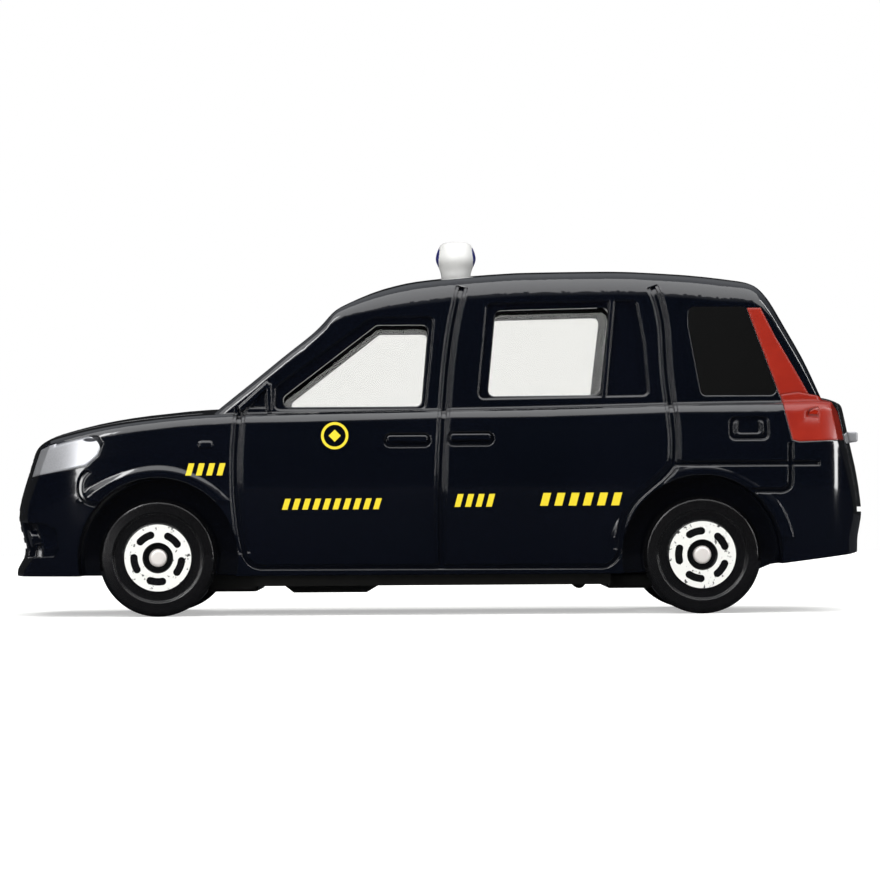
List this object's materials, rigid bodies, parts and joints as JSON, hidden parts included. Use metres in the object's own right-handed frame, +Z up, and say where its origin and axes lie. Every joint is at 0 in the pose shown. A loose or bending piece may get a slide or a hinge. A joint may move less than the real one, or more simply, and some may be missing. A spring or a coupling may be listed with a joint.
{
  "type": "die-cast toy taxi cab",
  "caption": "Small die-cast toy taxi cab with a black enamelled zinc body, clear windows, a white roof lamp, a black base and free-rolling wheels",
  "frame": {"origin": "on the ground, under the middle of the car", "axes": "+Y is the car's rear, so its front faces -Y; +X is its left side; +Z is up"},
  "size_m": [0.0278, 0.0714, 0.0314],
  "materials": {
    "body_shell": "glossy black enamel",
    "headlamp_left": "silver paint",
    "headlamp_right": "silver paint",
    "front_grille": "silver paint",
    "rear_garnish": "silver paint",
    "tail_lamp_left": "red paint",
    "tail_lamp_right": "red paint",
    "tail_strip_left": "red paint",
    "tail_strip_right": "red paint",
    "quarter_panel_left": "satin black",
    "quarter_panel_right": "satin black",
    "base_plate": "moulded black plastic",
    "window_insert": "clear moulded plastic",
    "interior": "moulded dark grey plastic",
    "roof_lamp": "white plastic",
    "front_axle": "bright wire",
    "rear_axle": "bright wire",
    "wheel_front_left": "moulded black plastic",
    "wheel_front_right": "moulded black plastic",
    "wheel_rear_left": "moulded black plastic",
    "wheel_rear_right": "moulded black plastic",
    "hub_foil_front_left": "silver hot foil",
    "hub_foil_front_right": "silver hot foil",
    "hub_foil_rear_left": "silver hot foil",
    "hub_foil_rear_right": "silver hot foil"
  },
  "bodies": {
    "car": {"body_shell": "body_shell", "headlamp_left": "headlamp_left", "headlamp_right": "headlamp_right", "tail_lamp_left": "tail_lamp_left", "tail_lamp_right": "tail_lamp_right", "tail_strip_left": "tail_strip_left", "tail_strip_right": "tail_strip_right", "quarter_panel_left": "quarter_panel_left", "quarter_panel_right": "quarter_panel_right", "front_grille": "front_grille", "rear_garnish": "rear_garnish", "base_plate": "base_plate", "window_insert": "window_insert", "interior": "interior", "roof_lamp": "roof_lamp", "front_axle": "front_axle", "rear_axle": "rear_axle"},
    "wheel_fl": {"wheel_front_left": "wheel_front_left", "hub_foil_front_left": "hub_foil_front_left"},
    "wheel_fr": {"wheel_front_right": "wheel_front_right", "hub_foil_front_right": "hub_foil_front_right"},
    "wheel_rl": {"wheel_rear_left": "wheel_rear_left", "hub_foil_rear_left": "hub_foil_rear_left"},
    "wheel_rr": {"wheel_rear_right": "wheel_rear_right", "hub_foil_rear_right": "hub_foil_rear_right"}
  },
  "joints": [
    {"name": "front_left_roll", "type": "hinge", "parent": "car", "child": "wheel_fl", "pos_m": [0.01125, -0.02325, 0.00485], "axis": [1, 0, 0], "continuous": true},
    {"name": "front_right_roll", "type": "hinge", "parent": "car", "child": "wheel_fr", "pos_m": [-0.01125, -0.02325, 0.00485], "axis": [1, 0, 0], "continuous": true},
    {"name": "rear_left_roll", "type": "hinge", "parent": "car", "child": "wheel_rl", "pos_m": [0.01125, 0.0215, 0.00485], "axis": [1, 0, 0], "continuous": true},
    {"name": "rear_right_roll", "type": "hinge", "parent": "car", "child": "wheel_rr", "pos_m": [-0.01125, 0.0215, 0.00485], "axis": [1, 0, 0], "continuous": true}
  ]
}
